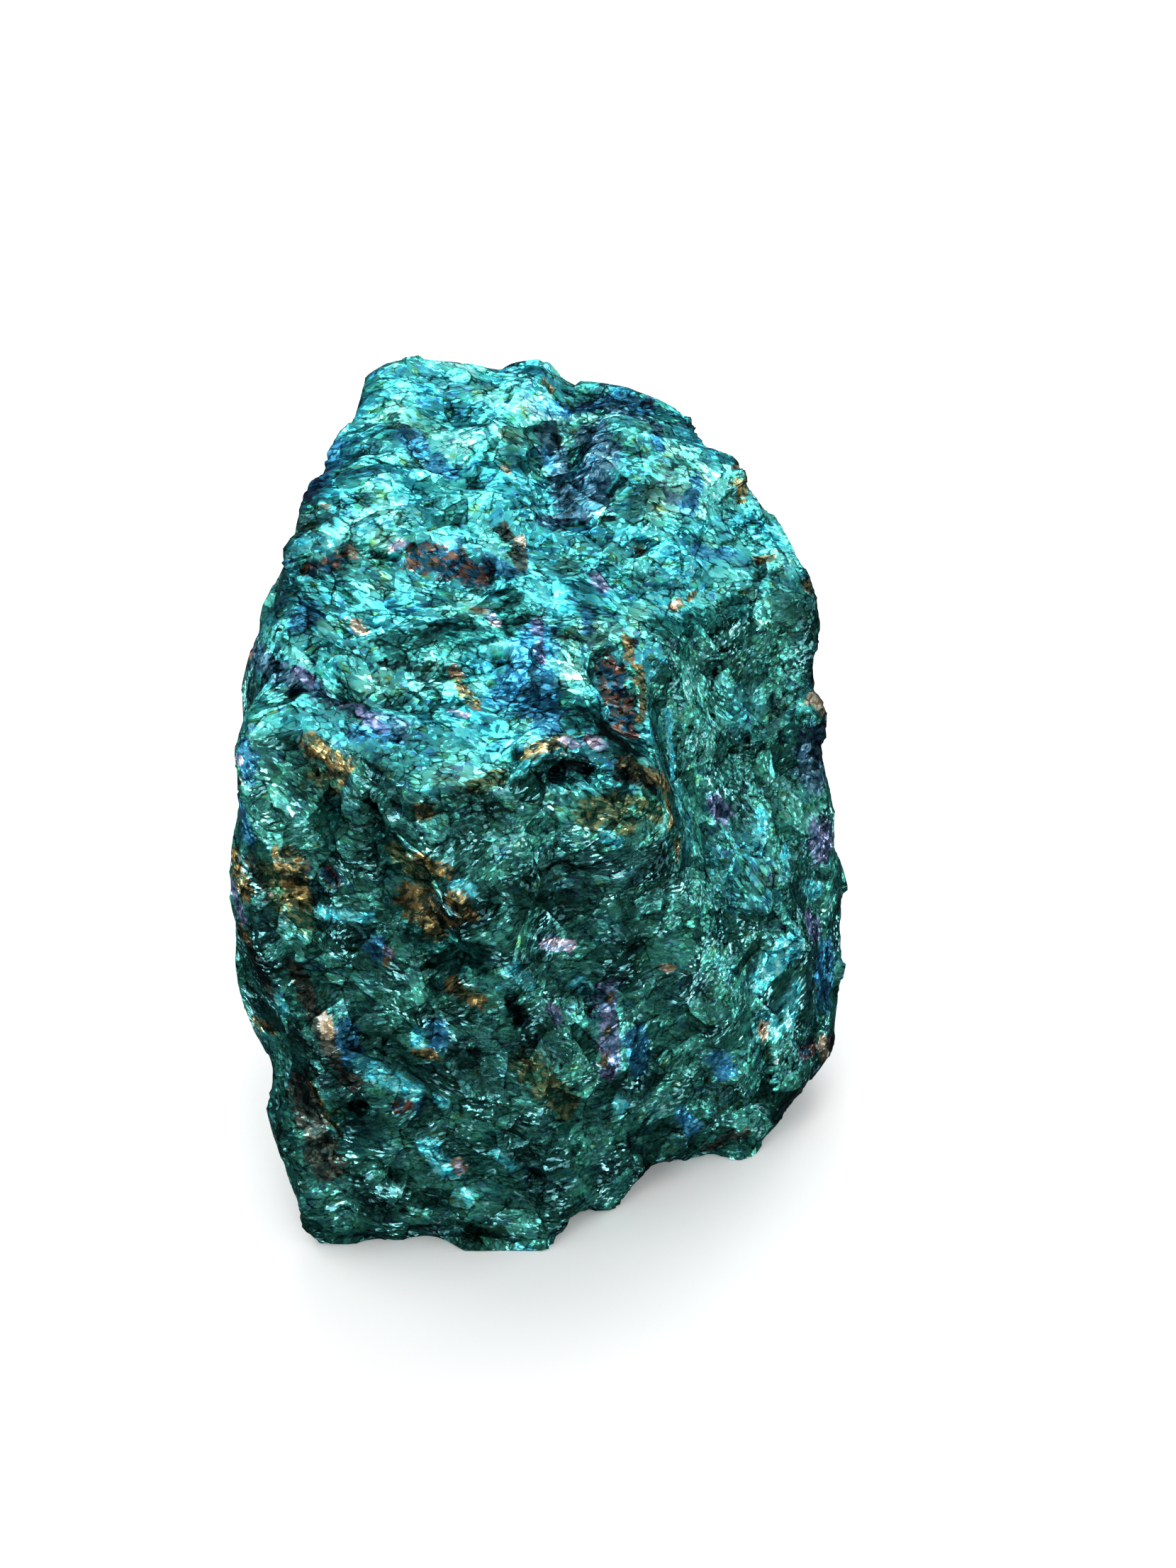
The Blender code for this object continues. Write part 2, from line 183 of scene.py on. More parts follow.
# Coloured patches: the pixels that each runs through, and its width.
PATCHES = {
    "gold": [
        ([(440, 1050), (463, 1067), (480, 1085)], 0.75),
        ([(741, 1065), (770, 1052), (803, 1046)], 0.55),
        ([(880, 1082), (910, 1094), (940, 1108)], 0.65),
        ([(941, 1130), (945, 1165)], 0.32),
        ([(955, 1185), (957, 1210)], 0.28),
        ([(594, 1215), (624, 1230)], 0.55),
        ([(330, 1205), (345, 1260)], 0.60),
        ([(405, 1210), (425, 1270)], 0.85),
        ([(326, 1292), (342, 1316)], 0.55),
        ([(580, 1262), (615, 1300)], 0.95),
        ([(645, 1268), (656, 1290)], 0.60),
        ([(640, 1390), (676, 1412)], 0.50),
        ([(360, 1440), (384, 1452)], 0.45),
        ([(588, 1486), (610, 1490)], 0.40),
        ([(640, 950), (657, 978), (672, 995)], 0.35),
        ([(884, 900), (888, 925)], 0.35),
        ([(901, 942), (907, 985), (905, 1015)], 0.28),
        ([(948, 858), (956, 850)], 0.35),
        ([(974, 842), (980, 836)], 0.28),
        ([(900, 778), (908, 778)], 0.28),
        ([(1070, 790), (1084, 786)], 0.35),
        ([(1136, 818), (1142, 830)], 0.35),
        ([(796, 900), (803, 902)], 0.28),
        ([(592, 1140), (602, 1148)], 0.40),
        ([(550, 1340), (545, 1358)], 0.25),
        ([(861, 1404), (858, 1412)], 0.25),
        ([(857, 1450), (858, 1456)], 0.25),
        ([(853, 1492), (852, 1500)], 0.25),
        ([(793, 522), (798, 528)], 0.30),
        ([(440, 1530), (480, 1600)], 0.25),
    ],
    "blue": [
        ([(756, 885), (735, 945), (708, 985)], 0.75),
        ([(762, 900), (765, 960), (772, 1020)], 0.85),
        ([(735, 975), (750, 1000)], 0.90),
        ([(690, 795), (715, 806)], 0.60),
        ([(574, 613), (590, 632)], 0.80),
        ([(610, 655), (630, 668)], 0.80),
        ([(985, 676), (969, 720)], 0.50),
        ([(924, 620), (929, 632)], 0.45),
        ([(829, 860), (829, 893)], 0.40),
        ([(770, 636), (776, 662)], 0.35),
        ([(770, 575), (860, 562), (910, 552)], 0.80),
        ([(985, 775), (1030, 780)], 0.50),
        ([(530, 1335), (540, 1350)], 0.60),
        ([(615, 1445), (620, 1470)], 0.60),
        ([(490, 1450), (500, 1490)], 0.70),
        ([(895, 1465), (905, 1500)], 0.85),
        ([(1010, 1490), (1025, 1510)], 0.70),
        ([(1162, 1365), (1164, 1385)], 1.80),
        ([(500, 1035), (560, 1045)], 0.55),
        ([(420, 880), (440, 860)], 0.80),
        ([(480, 600), (430, 700)], 0.90),
        ([(980, 1595), (960, 1570)], 0.50),
        ([(340, 1140), (350, 1180)], 0.70),
        ([(890, 1690), (945, 1668)], 0.60),
        ([(345, 1050), (350, 1090)], 0.60),
    ],
    "slate": [
        ([(790, 575), (850, 568), (905, 592)], 0.75),
        ([(772, 612), (786, 660), (800, 705)], 0.80),
        ([(835, 605), (850, 640), (830, 690)], 1.20),
        ([(770, 735), (820, 722), (850, 700)], 0.70),
        ([(915, 560), (925, 600), (930, 630)], 0.40),
        ([(945, 700), (975, 712)], 0.45),
        ([(360, 925), (420, 960), (500, 995), (560, 1030)], 0.85),
        ([(1150, 1060), (1155, 1080)], 1.70),
    ],
    "violet": [
        ([(840, 815), (850, 828)], 0.50),
        ([(852, 1395), (858, 1450), (862, 1510)], 0.70),
        ([(1005, 1135), (1022, 1150)], 0.65),
        ([(540, 1030), (420, 945)], 0.40),
        ([(757, 876), (764, 930)], 0.32),
        ([(1158, 1180), (1162, 1195)], 1.20),
        ([(330, 1250), (345, 1300)], 0.35),
        ([(1140, 1300), (1150, 1310)], 0.80),
        ([(775, 1420), (790, 1440)], 0.30),
    ],
    "rust": [
        ([(588, 786), (640, 792)], 0.85),
        ([(630, 800), (680, 815)], 0.80),
        ([(862, 945), (868, 990), (880, 1030)], 0.85),
        ([(562, 1562), (590, 1556)], 0.50),
        ([(463, 1230), (475, 1240)], 0.50),
        ([(1174, 1470), (1172, 1498)], 0.50),
        ([(890, 903), (893, 908)], 0.30),
        ([(435, 802), (480, 785)], 0.55),
    ],
    "beige": [
        ([(493, 777), (499, 782)], 0.32),
        ([(735, 758), (736, 766)], 0.30),
        ([(668, 858), (682, 864)], 0.32),
        ([(502, 880), (510, 892)], 0.42),
        ([(458, 710), (461, 715)], 0.25),
        ([(1075, 1445), (1079, 1462)], 0.40),
        ([(1159, 1472), (1163, 1492)], 0.45),
        ([(459, 1437), (464, 1458)], 0.38),
        ([(645, 1640), (649, 1650)], 0.38),
        ([(638, 945), (646, 952)], 0.30),
        ([(952, 856), (956, 852)], 0.28),
        ([(712, 660), (718, 668)], 0.25),
        ([(937, 1362), (947, 1366)], 0.28),
    ],
    # Dark green, partly the ore's colour and partly painted shade in hollows, gullies and pits.
    "dark_green_and_shade": [
        ([(560, 912), (640, 900), (700, 885), (735, 870)], 1.20),
        ([(715, 840), (732, 862)], 0.75),
        ([(930, 885), (1000, 875), (1045, 855)], 0.90),
        ([(880, 960), (905, 1060)], 0.70),
        ([(795, 1018), (840, 1008), (885, 1062)], 0.80),
        ([(540, 1170), (560, 1220)], 0.90),
        ([(718, 1405), (735, 1445)], 0.50),
        ([(505, 1556), (518, 1566)], 0.50),
        ([(667, 1478), (671, 1488)], 0.40),
        ([(600, 1320), (660, 1350)], 1.20),
        ([(640, 745), (680, 655), (700, 620)], 0.25),
        ([(430, 800), (500, 850)], 0.35),
        ([(420, 975), (500, 985)], 0.60),
    ],
    # Painted highlights: bright cyan where facets catch the light.
    "cyan_highlight": [
        ([(512, 1500), (548, 1520), (584, 1542)], 0.65),
        ([(1122, 1335), (1085, 1367), (1075, 1380)], 1.00),
        ([(1118, 1400), (1115, 1440)], 0.75),
        ([(1090, 1445), (1095, 1460)], 0.45),
        ([(780, 1333), (797, 1335)], 0.38),
        ([(857, 1180), (870, 1190)], 0.42),
        ([(455, 1285), (520, 1295)], 0.40),
        ([(650, 1250), (660, 1256)], 0.55),
        ([(720, 1365), (745, 1390)], 0.50),
        ([(787, 840), (790, 862)], 0.75),
        ([(510, 745), (524, 736)], 0.55),
        ([(615, 1550), (625, 1556)], 0.40),
        ([(870, 1555), (880, 1562)], 0.45),
        ([(1075, 1150), (1070, 1200)], 0.55),
        ([(1106, 1205), (1110, 1225)], 0.50),
        ([(1140, 1250), (1155, 1258)], 0.55),
        ([(590, 1455), (588, 1475)], 0.40),
        ([(430, 760), (460, 770)], 0.60),
        ([(600, 1615), (635, 1655)], 0.60),
        ([(655, 1680), (662, 1700)], 0.30),
        ([(700, 1625), (725, 1650)], 0.30),
        ([(395, 1415), (400, 1425)], 0.45),
        ([(812, 1385), (828, 1395)], 0.45),
        ([(925, 840), (945, 858)], 0.70),
        ([(942, 1005), (950, 1095)], 0.40),
        ([(958, 1110), (970, 1190)], 0.40),
        ([(420, 1040), (430, 1045)], 0.30),
    ],
    # Painted highlights: pale lilac glints.
    "lilac_highlight": [
        ([(772, 1330), (806, 1336)], 0.42),
        ([(797, 1044), (812, 1050)], 0.30),
        ([(832, 1042), (850, 1052)], 0.35),
        ([(555, 772), (566, 765)], 0.30),
        ([(690, 868), (702, 880)], 0.30),
        ([(640, 1002), (656, 1010)], 0.25),
        ([(330, 1052), (338, 1072)], 0.30),
        ([(545, 1338), (548, 1346)], 0.22),
        ([(646, 1642), (650, 1650)], 0.25),
    ],
    # Painted shade: near black in the cracks and the slot under the ledge.
    "crack_shade": [
        ([(772, 1070), (798, 1079), (823, 1087)], 0.32),
        ([(823, 1087), (872, 1090)], 0.28),
        ([(872, 1090), (925, 1116)], 0.35),
        ([(797, 741), (830, 735), (864, 733)], 0.22),
        ([(858, 700), (868, 688), (880, 678)], 0.25),
        ([(540, 935), (600, 942), (648, 941)], 0.25),
        ([(700, 748), (716, 750)], 0.22),
        ([(500, 1560), (516, 1566)], 0.35),
        ([(667, 1480), (671, 1488)], 0.35),
        ([(716, 1408), (734, 1444)], 0.30),
        ([(1010, 943), (1005, 1009), (985, 1072)], 0.18),
        ([(826, 1410), (836, 1469)], 0.18),
        ([(1055, 1035), (1054, 1055)], 0.22),
    ],
    "olive": [
        ([(830, 1150), (860, 1138), (880, 1160)], 0.85),
        ([(670, 1108), (705, 1096)], 0.50),
        ([(560, 1200), (600, 1240)], 0.70),
        ([(440, 1090), (470, 1110)], 0.50),
        ([(900, 1130), (930, 1150)], 0.50),
        ([(380, 1230), (430, 1300)], 0.80),
        ([(740, 1500), (800, 1560)], 0.80),
    ],
    "brown": [
        ([(712, 748), (730, 770), (736, 798)], 0.50),
        ([(415, 1363), (450, 1450), (497, 1527)], 0.55),
        ([(430, 1540), (460, 1640)], 1.20),
        ([(350, 1330), (380, 1400)], 0.60),
        ([(360, 1220), (390, 1260)], 0.70),
        ([(1000, 1620), (1050, 1600)], 0.60),
    ],
}

# Broad zones of painted light and of painted shade: their pixels and their width.
PAINTED_LIGHT_ZONES = [
    ([(960, 800), (985, 760), (1040, 720)], 2.2),
    ([(885, 810), (950, 870)], 1.4),
    ([(960, 870), (1040, 815)], 0.9),
    ([(1060, 870), (1050, 950), (1100, 940)], 1.5),
    ([(930, 990), (960, 1130), (1040, 1140)], 1.6),
    ([(760, 1160), (790, 1220), (820, 1240)], 1.3),
    ([(825, 1390), (850, 1440)], 1.4),
    ([(940, 1350), (950, 1460), (900, 1560), (950, 1580)], 1.6),
    ([(1100, 1360), (1110, 1430), (1060, 1440)], 1.6),
    ([(1090, 1520), (1100, 1500)], 0.8),
    ([(1140, 1260), (1165, 1220)], 1.2),
    ([(560, 1640), (640, 1670), (720, 1640), (700, 1600)], 2.2),
    ([(770, 1560), (820, 1570), (850, 1680)], 1.6),
    ([(660, 1360), (690, 1370)], 1.0),
    ([(700, 1460), (730, 1460)], 0.8),
    ([(540, 1530), (560, 1530)], 0.9),
    ([(365, 1140), (440, 1185)], 1.2),
    ([(385, 1240), (420, 1310)], 0.8),
    ([(395, 1410), (440, 1400)], 1.0),
    ([(470, 1650), (480, 1700)], 0.9),
    ([(560, 1120), (565, 1160)], 0.8),
    ([(610, 1640), (660, 1680)], 1.8),
    ([(425, 1590), (430, 1630)], 1.0),
    ([(800, 1370), (830, 1410)], 1.2),
    ([(640, 1340), (700, 1320)], 0.9),
    ([(930, 1010), (950, 1090)], 0.9),
    ([(480, 690), (480, 710)], 0.9),
    ([(620, 700), (650, 640), (760, 620)], 0.8),
    ([(970, 960), (1050, 950)], 0.8),
    ([(580, 720), (585, 810), (640, 740)], 1.5),
    ([(650, 570), (665, 580)], 0.9),
    ([(615, 820), (685, 860)], 1.1),
    ([(390, 1410), (540, 1405)], 0.9),
    ([(560, 925), (650, 940), (690, 930)], 0.9),
    ([(770, 540), (775, 640), (760, 770)], 0.9),
    ([(850, 650), (820, 740)], 0.8),
    ([(880, 585), (950, 595)], 0.9),
    ([(860, 940), (865, 955)], 0.8),
    ([(720, 1060), (800, 1065)], 0.7),
    ([(1115, 1060), (1125, 1080)], 0.7),
    ([(592, 1140), (612, 1225)], 0.5),
    ([(490, 1245), (520, 1260)], 0.8),
    ([(360, 1440), (384, 1452)], 0.5),
    ([(740, 630), (770, 625)], 0.9),
    ([(560, 905), (565, 930)], 0.8),
    ([(1150, 1200), (1165, 1270)], 0.9),
    ([(900, 1600), (925, 1610)], 0.7),
]
PAINTED_SHADE_ZONES = [
    ([(325, 1180), (330, 1320), (380, 1380)], 1.6),
    ([(340, 1420), (400, 1600)], 1.8),
    ([(400, 1700), (440, 1760)], 1.2),
    ([(340, 980), (400, 850), (440, 700)], 1.6),
    ([(430, 835), (440, 845)], 1.0),
    ([(420, 980), (470, 990), (560, 1000)], 1.0),
    ([(500, 1150), (515, 1190)], 1.2),
    ([(540, 1290), (590, 1330)], 1.6),
    ([(740, 1250), (755, 1290)], 1.1),
    ([(735, 1360), (745, 1390)], 0.8),
    ([(635, 1430), (650, 1430)], 0.9),
    ([(660, 1510), (680, 1530)], 1.3),
    ([(770, 1440), (790, 1490)], 1.0),
    ([(450, 1520), (470, 1540), (520, 1590)], 1.1),
    ([(880, 1310), (890, 1330)], 0.8),
    ([(925, 1200), (935, 1240)], 1.0),
    ([(1060, 1240), (1075, 1250)], 0.9),
    ([(995, 1400), (1000, 1440)], 0.8),
    ([(1120, 1550), (1170, 1490)], 1.4),
    ([(1155, 880), (1165, 1080)], 1.8),
    ([(1075, 820), (1130, 850)], 1.7),
    ([(960, 650), (900, 710)], 1.2),
    ([(830, 525), (930, 555)], 1.2),
    ([(750, 1010), (820, 1000), (860, 1050)], 1.2),
    ([(925, 560), (960, 600)], 0.8),
    ([(805, 800), (840, 870)], 0.9),
    ([(880, 1050), (895, 1090)], 1.0),
    ([(790, 895), (840, 900)], 0.8),
    ([(600, 890), (660, 870)], 0.6),
    ([(650, 1740), (940, 1670)], 1.2),
    ([(520, 1770), (600, 1760)], 0.9),
    ([(640, 1110), (710, 1150)], 0.9),
    ([(520, 1070), (550, 1090)], 0.9),
    ([(430, 1110), (450, 1120)], 0.9),
    ([(570, 1340), (600, 1350)], 1.1),
    ([(420, 1460), (530, 1470)], 1.1),
    ([(750, 1500), (770, 1540)], 1.0),
    ([(510, 1680), (530, 1700)], 1.0),
    ([(540, 610), (600, 600)], 1.0),
    ([(720, 600), (725, 640)], 0.8),
    ([(465, 730), (520, 700)], 0.9),
    ([(880, 630), (935, 640)], 1.0),
    ([(975, 665), (980, 700)], 0.8),
    ([(420, 880), (440, 860)], 0.9),
    ([(790, 690), (800, 710)], 0.7),
    ([(690, 795), (715, 806)], 0.6),
    ([(580, 1330), (650, 1310), (690, 1290)], 0.8),
    ([(1095, 1000), (1085, 1030)], 0.8),
    ([(1065, 1235), (1080, 1245)], 1.1),
    ([(730, 1440), (760, 1520)], 0.9),
    ([(500, 1175), (505, 1185)], 0.9),
    ([(520, 1660), (545, 1685)], 0.8),
]

# Random patches for the sides that the photograph doesn't show: how many there are, and how common
# each tint is among them.
HIDDEN_PATCHES = 90
# Among these are dark green with painted shade, near black painted shade in cracks, and painted
# highlights in cyan and lilac.
HIDDEN_SHARES = {
    "gold": 0.22,
    "slate": 0.12,
    "blue": 0.18,
    "violet": 0.12,
    "rust": 0.10,
    "beige": 0.08,
    "dark_green_and_shade": 0.12,
    "cyan_highlight": 0.10,
    "lilac_highlight": 0.04,
    "crack_shade": 0.06,
    "brown": 0.04,
}

# The seed of those patches, their length, how many times it holds the random spread of their ends,
# and their least and greatest width.
HIDDEN_SEED = 12
HIDDEN_LENGTH = 2.2
SPREADS_IN_LENGTH = 3.0
HIDDEN_WIDTHS = (0.5, 1.2)

# Colours, as red, green and blue from 0 to 255. Those of the top and of the sides drift over the
# surface, and stand at places of a ramp. The top's are the ore's teal with painted light, far
# lighter than the sides', which are the ore's teal with painted shade.
TOP_TARNISH_AND_LIGHT = [
    (0.28, (50, 142, 158)),
    (0.45, (78, 188, 196)),
    (0.58, (106, 220, 210)),
    (0.72, (154, 240, 216)),
]
SIDE_TARNISH_AND_SHADE = [
    (0.30, (46, 86, 92)),
    (0.45, (54, 112, 106)),
    (0.58, (70, 146, 130)),
    (0.72, (74, 158, 164)),
]

# The bright and the dark colour of each kind of patch. A later one lies over an earlier one.
TINTS = {
    # Dark green, partly the ore's colour and partly painted shade.
    "dark_green_and_shade": ((34, 104, 98), (14, 60, 58)),
    "slate": ((92, 136, 160), (38, 72, 96)),
    "brown": ((88, 92, 82), (48, 60, 56)),
    "blue": ((74, 160, 200), (42, 112, 154)),
    "violet": ((130, 140, 180), (62, 84, 116)),
    "rust": ((124, 84, 66), (36, 80, 108)),
    # Painted highlight.
    "cyan_highlight": ((120, 240, 244), (64, 190, 212)),
    "olive": ((112, 126, 86), (44, 88, 68)),
    "gold": ((154, 134, 84), (62, 70, 48)),
    "beige": ((224, 216, 192), (168, 148, 118)),
    # Painted highlight.
    "lilac_highlight": ((228, 216, 240), (150, 178, 216)),
    # Painted shade in the cracks.
    "crack_shade": ((14, 36, 38), (6, 16, 18)),
}

# The faint hues of the small facets, at places of a ramp. Most have none.
HUES = [
    (0.0, (255, 255, 255)),
    (0.60, (235, 255, 255)),
    (0.72, (190, 220, 255)),
    (0.82, (225, 255, 215)),
    (0.93, (210, 195, 255)),
    (0.98, (255, 220, 170)),
]

# The painted highlight colour of the facets that flash, and the colours of the streaks and of the
# gloss at a grazing angle.
PAINTED_FLASH_COLOUR = (150, 240, 250)
STREAK_COLOUR = (84, 190, 166)
GRAZING_COLOUR = (120, 150, 165)

# The noises of the finish: their size, their detail and, in one of them, their distortion.
WANDER_NOISE = (2.2, 1.0)
JAG_NOISE = (0.22, 2.0)
CLUSTER_NOISE = (1.8, 4.0)
DRIFT_NOISE = (3.2, 3.0)
STREAK_NOISE = (0.26, 3.0)
BREAK_NOISE = (0.8, 2.0)
EDGE_NOISE = (0.55, 4.0, 0.8)
SPECK_NOISE = (0.45, 6.0)
GLOSS_NOISE = (0.6, 2.0)

# The middle of noise and of random numbers, as one number and as three.
MIDDLE = 0.5
MIDDLES = (MIDDLE, MIDDLE, MIDDLE)

# The facets of the finish, from fine grains to broad ones: the places that they follow, their
# size, how far they tilt, the random number that shades them and the range of their shades, and
# the width of the dark lines around them.
BROAD = 2.6
Facets = namedtuple("Facets", "run size tilt channel shades line")
FINISH = [
    Facets("grains", 0.14, 0.42, 0, (0.76, 1.24), 0.0),
    Facets("grains", 0.24, 0.50, 0, (0.76, 1.24), 0.11),
    Facets("plates", 1.0, 0.75, 0, (0.70, 1.32), 0.08),
    Facets("plain", BROAD, 0.60, 2, (0.64, 1.34), 0.035),
]

# The fibres of the finish: how far they wander, how far they jag, and how far each broad facet
# turns them about each axis.
WANDER = 0.7
JAG = 0.12
TURN = (0.9, 1.5, 0.9)

# How places are squeezed along the fibres, so that plates and dashes come out long, and how the
# grains are squeezed on the sides and on the top.
PLATE_SQUEEZE = (0.50, 1.0, 1.0)
DASH_SQUEEZE = (0.38, 1.0, 1.0)
GRAIN_SQUEEZES = (1.0, 0.75)

# The facets that flash: their size, which of their random numbers picks them, the range of that
# number and of the cluster noise in which they begin, the range of valleys in which they grow
# fewer, and how many are left outside and inside.
FLASH_SIZE = 0.14
FLASH_CHANNEL = 0
FLASH_RANGE = (0.74, 0.80)
CLUSTER_RANGE = (0.47, 0.57)
FLASH_VALLEYS = (0.3, 0.6)
FLASH_LEFT = (1.0, 0.3)

# How much of their painted highlight colour flashes show, and how far they lean up, on the sides
# and the top.
FLASH_SHARES = (0.7, 0.3)
FLASH_LEANS = (0.8, 0.1)

# How far the patches of painted highlight lean up, and where to: up, and a little to the front.
PATCH_LEANS = {"cyan_highlight": 0.4, "lilac_highlight": 0.5}
LEAN_TO = (0.0, -0.2, 1.0)

# The facets with a hue of their own: their size, and which of their random numbers picks it.
HUE_SIZE = 0.28
HUE_CHANNEL = 1

# The streaks: how far from its middle the noise still makes one, and how strong they are.
STREAK_RANGE = (0.0, 0.05)
STREAK_SHARES = (0.45, 0.0)

# The dark lines between facets: the range of the noise in which they are broken off, and how
# strong they are on the sides and the top.
BREAK_RANGE = (0.42, 0.58)
LINE_STRENGTHS = (0.75, 0.85)

# How light the surface is painted outside and inside of a hollow and of a valley, and in the broad
# zones of painted shade and painted light. Hollows and valleys get painted shade, and the ridges
# between the valleys painted light.
HOLLOW_SHADES = (1.0, 0.25)
VALLEY_SHADES = (1.36, 0.66)
PAINTED_LIGHT_RANGE = (-1.0, 1.0)
PAINTED_LIGHT_FACTORS = (0.22, 1.98)

# The patches: how ragged their edges are, the range of the noise that speckles them, the range
# over which they fade in, and how much of their colour shows outside and inside.
RAGGEDNESS = 1.6
SPECK_RANGE = (0.46, 0.56)
PATCH_RANGE = (0.34, 0.60)
PATCH_SHARES = (0.0, 0.92)

# The gloss: how metallic the ore is, and the ranges of the gloss noise and of the roughness.
METALLIC = 0.9
GLOSS_RANGE = (0.3, 0.7)
ROUGHNESS_RANGE = (0.14, 0.34)

# The floor, with its size in metres.
FLOOR_SIZE = 6.0
FLOOR_COLOUR = (240, 240, 240)
FLOOR_ROUGHNESS = 0.9

# Soft white lights: the direction that each stands in as turn and height in degrees, its distance
# and its size in metres, and its brightness. Turn 0 is behind the stone, and 90 is at its right.
LIGHTS = {
    "key behind": (6.0, 52.0, 0.45, 0.34, 3.4),
    "key left": (-60.0, 50.0, 0.45, 0.16, 4.0),
    "side right": (92.0, 4.0, 0.50, 0.26, 2.2),
    "front left": (-140.0, 20.0, 0.50, 0.17, 6.0),
    "front right": (165.0, 30.0, 0.50, 0.15, 6.0),
}
LIGHT_AIM = Vector((0.0, 0.0, 17.0)) * MM

# The studio, and what the glossy ore reflects of it: the heights between which it changes, how
# bright it is below and above them, and how much brighter or dimmer it is at the left and the
# right.
STUDIO_COLOUR = (255, 255, 255)
STUDIO_HEIGHTS = (-0.75, 0.35)
STUDIO_GLOSS = (0.12, 0.72)
STUDIO_SIDES = (-1.0, 1.0)
SIDE_GLOSS = (1.20, 0.75)


def colour(rgb):
    """The linear colour, with its alpha, of an sRGB colour from 0 to 255."""
    share = np.array(rgb) / 255.0
    linear = np.where(share <= 0.04045, share / 12.92, ((share + 0.055) / 1.055) ** 2.4)
    return (*linear.tolist(), 1.0)


def camera_from_photograph():
    """The camera stands where the photograph was taken from."""
    data = bpy.data.cameras.new("camera")
    data.sensor_fit = "VERTICAL"
    data.sensor_height = SENSOR_HEIGHT
    data.lens = FOCAL_LENGTH / PHOTO_HEIGHT * SENSOR_HEIGHT
    data.clip_start = MM
    camera = bpy.data.objects.new("camera", data)
    camera.location = EYE * MM
    camera.rotation_euler = FORWARD.to_track_quat("-Z", "Y").to_euler()
    bpy.context.scene.collection.objects.link(camera)
    bpy.context.scene.camera = camera


def seen_at(surface, pixel):
    """The point of the surface that shows at this pixel of the photograph."""
    u, v = pixel
    ray = FORWARD * FOCAL_LENGTH + RIGHT * (u - PHOTO_WIDTH / 2) + UP * (PHOTO_HEIGHT / 2 - v)
    ray.normalize()
    hit = surface.ray_cast(EYE, ray)[0]
    if hit is None:
        hit = surface.find_nearest(EYE + ray * CAMERA_DISTANCE)[0]
    return np.array(hit)


def read_mesh(mesh):
    """The places and the normals of the mesh's corners, the places in millimetres."""
    count = len(mesh.vertices)
    places = np.empty(count * 3)
    normals = np.empty(count * 3)
    mesh.vertices.foreach_get("co", places)
    mesh.vertex_normals.foreach_get("vector", normals)
    return places.reshape(count, 3) / MM, normals.reshape(count, 3)


def write_places(mesh, places):
    """Moves the mesh's corners to these places, which are in millimetres."""
    mesh.vertices.foreach_set("co", (places * MM).ravel())
    mesh.update()


def apply_modifiers(obj):
    """Makes what the object's modifiers do to its mesh final."""
    depsgraph = bpy.context.evaluated_depsgraph_get()
    mesh = bpy.data.meshes.new_from_object(obj.evaluated_get(depsgraph))
    old = obj.data
    obj.modifiers.clear()
    obj.data = mesh
    bpy.data.meshes.remove(old)


def add_dome(mesh):
    """Adds the dome to the mesh. The even grid then makes one surface of both."""
    form = bmesh.new()
    form.from_mesh(mesh)
    dome = bmesh.ops.create_icosphere(form, subdivisions=DOME_DIVISIONS, radius=1.0)["verts"]
    bmesh.ops.scale(form, vec=DOME_RADII * MM, verts=dome)
    bmesh.ops.translate(form, vec=DOME_MIDDLE * MM, verts=dome)
    form.to_mesh(mesh)
    form.free()


def even_grid(obj):
    """Turns the object into an even mesh over all of its surface, and smooths it."""
    remesh = obj.modifiers.new("even grid", "REMESH")
    remesh.mode = "VOXEL"
    remesh.voxel_size = GRID * MM
    smooth = obj.modifiers.new("smooth", "SMOOTH")
    smooth.iterations = SMOOTHING
    apply_modifiers(obj)


def neighbours(mesh):
    """The two ends of every edge, and how many edges each corner has."""
    ends = np.empty(len(mesh.edges) * 2, dtype=np.int64)
    mesh.edges.foreach_get("vertices", ends)
    ends = ends.reshape(-1, 2)
    counts = np.bincount(ends.ravel(), minlength=len(mesh.vertices))
    return ends, counts


def spread(values, ends, counts, times):
    """The values, averaged over the corners next to each one, this many times."""
    for _ in range(times):
        total = np.zeros_like(values)
        np.add.at(total, ends[:, 0], values[ends[:, 1]])
        np.add.at(total, ends[:, 1], values[ends[:, 0]])
        values = total / (counts[:, None] if values.ndim == 2 else counts)
    return values


def smooth_step(values, low, high):
    """0 at values under low, 1 over high, and a smooth rise in between."""
    share = np.clip((values - low) / (high - low), 0.0, 1.0)
    return share * share * (3.0 - 2.0 * share)


def along(points, grain, stretch):
    """The points with their part along the grain made shorter, so that forms run that way."""
    unit = np.array(grain.normalized())
    return points - np.outer(points @ unit, unit) * (1.0 - 1.0 / stretch)


def faces(mesh, normals):
    """Where the surface faces, seen from a little way off, and how far it is the top face."""
    facing = spread(normals, *neighbours(mesh), FACING_SPREAD)
    facing /= np.linalg.norm(facing, axis=1)[:, None]
    return facing, smooth_step(facing[:, 2], SIDE_UP, TOP_UP)


def broken_planes(points, cell, seed):
    """The height of a surface that is broken into planes, one to each cell, from -1 to 1."""
    heights = []
    for point in points:
        spot = Vector(point) / cell + SEED_SPREAD * seed
        centre = noise.voronoi(spot)[1][0]
        tilt = noise.cell_vector(centre * TILT_SEED) * 2.0 - Vector((1.0, 1.0, 1.0))
        step = noise.cell(centre * STEP_SEED) * 2.0 - 1.0
        heights.append(TILT_SHARE * (spot - centre).dot(tilt) + STEP_SHARE * step)
    return np.array(heights)


